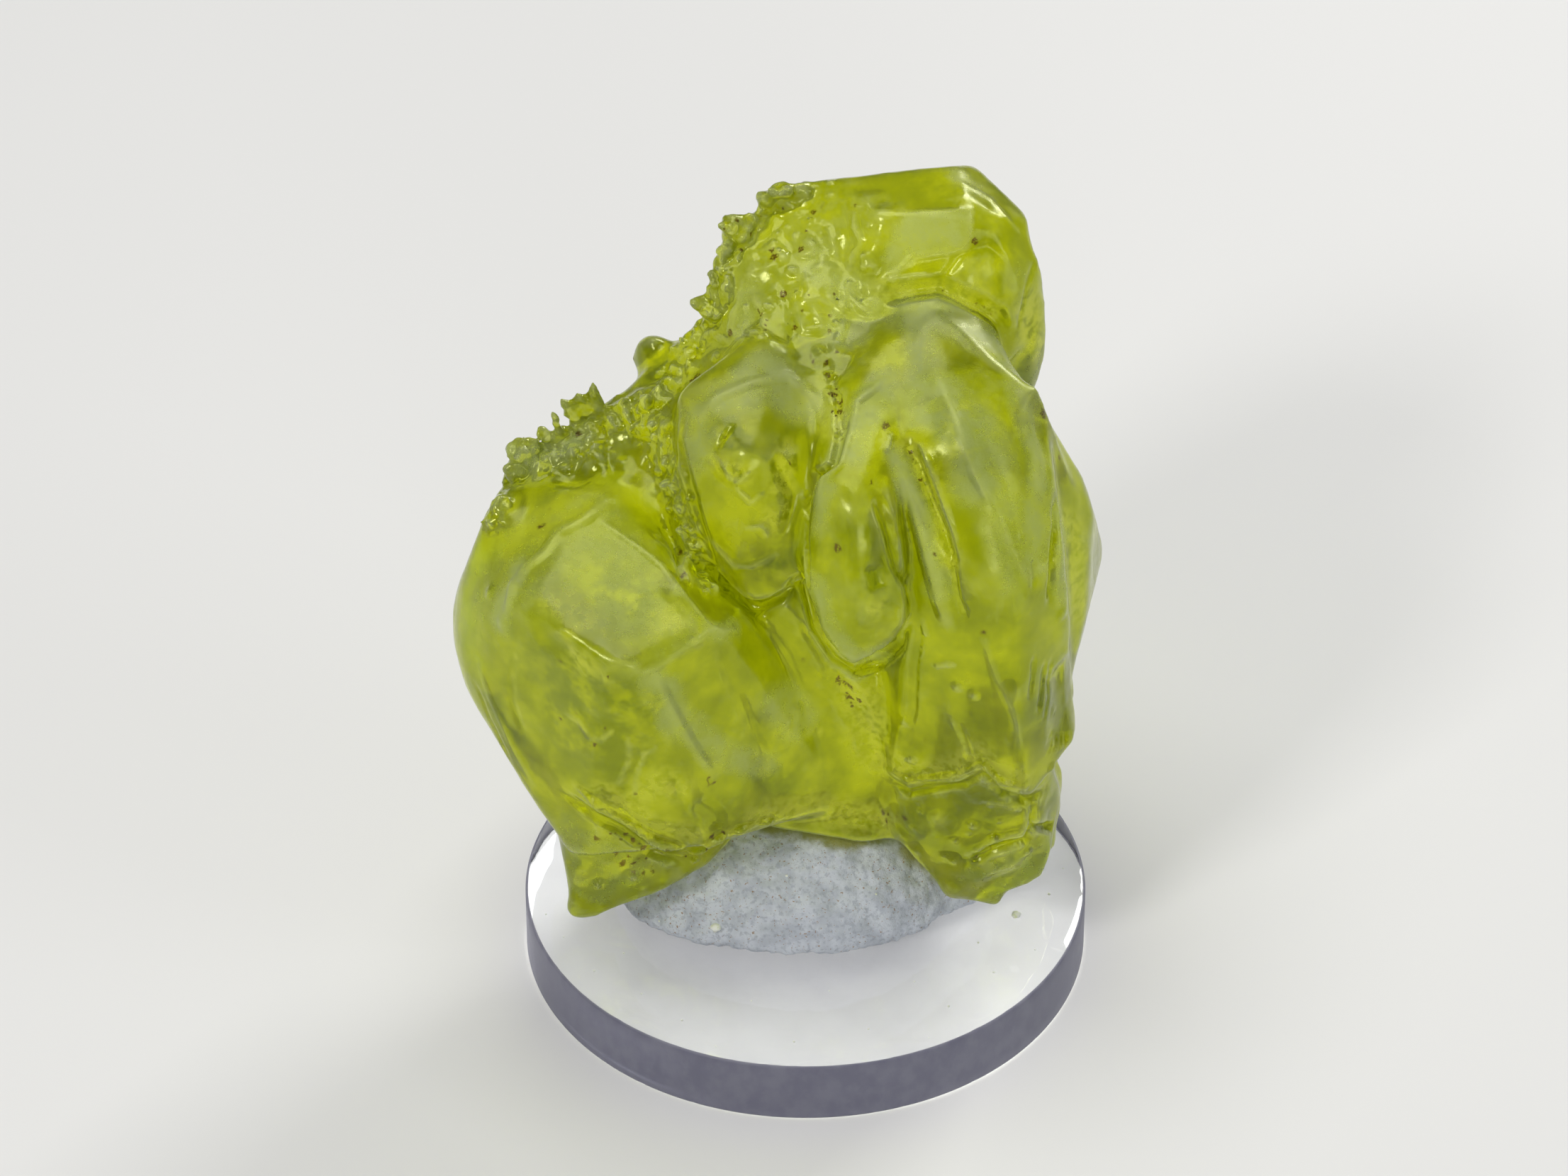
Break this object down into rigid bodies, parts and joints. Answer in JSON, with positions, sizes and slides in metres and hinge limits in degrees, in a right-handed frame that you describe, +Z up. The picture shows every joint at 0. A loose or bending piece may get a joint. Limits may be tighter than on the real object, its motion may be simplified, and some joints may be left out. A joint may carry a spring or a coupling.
{
  "type": "native sulfur crystal",
  "caption": "Cluster of translucent yellow sulfur crystals with a druse slope, set in white putty on a clear round display disc.",
  "frame": {"origin": "centre of the disc's flat underside", "axes": "+Z up through the disc towards the crown of the cluster; the show side, with the deep groove and the druse slope, faces -Y; +X to the right as seen from the show side"},
  "size_m": [0.0288, 0.0254, 0.0364],
  "materials": {
    "sulfur": "translucent lemon yellow crystal, glossy with frosted growth faces",
    "putty": "white grainy putty, matte",
    "clear_acrylic": "clear, polished faces and a satin sawn edge"
  },
  "bodies": {
    "root": {"sulfur_cluster": "sulfur", "mineral_putty": "putty", "acrylic_disc": "clear_acrylic"}
  },
  "joints": []
}
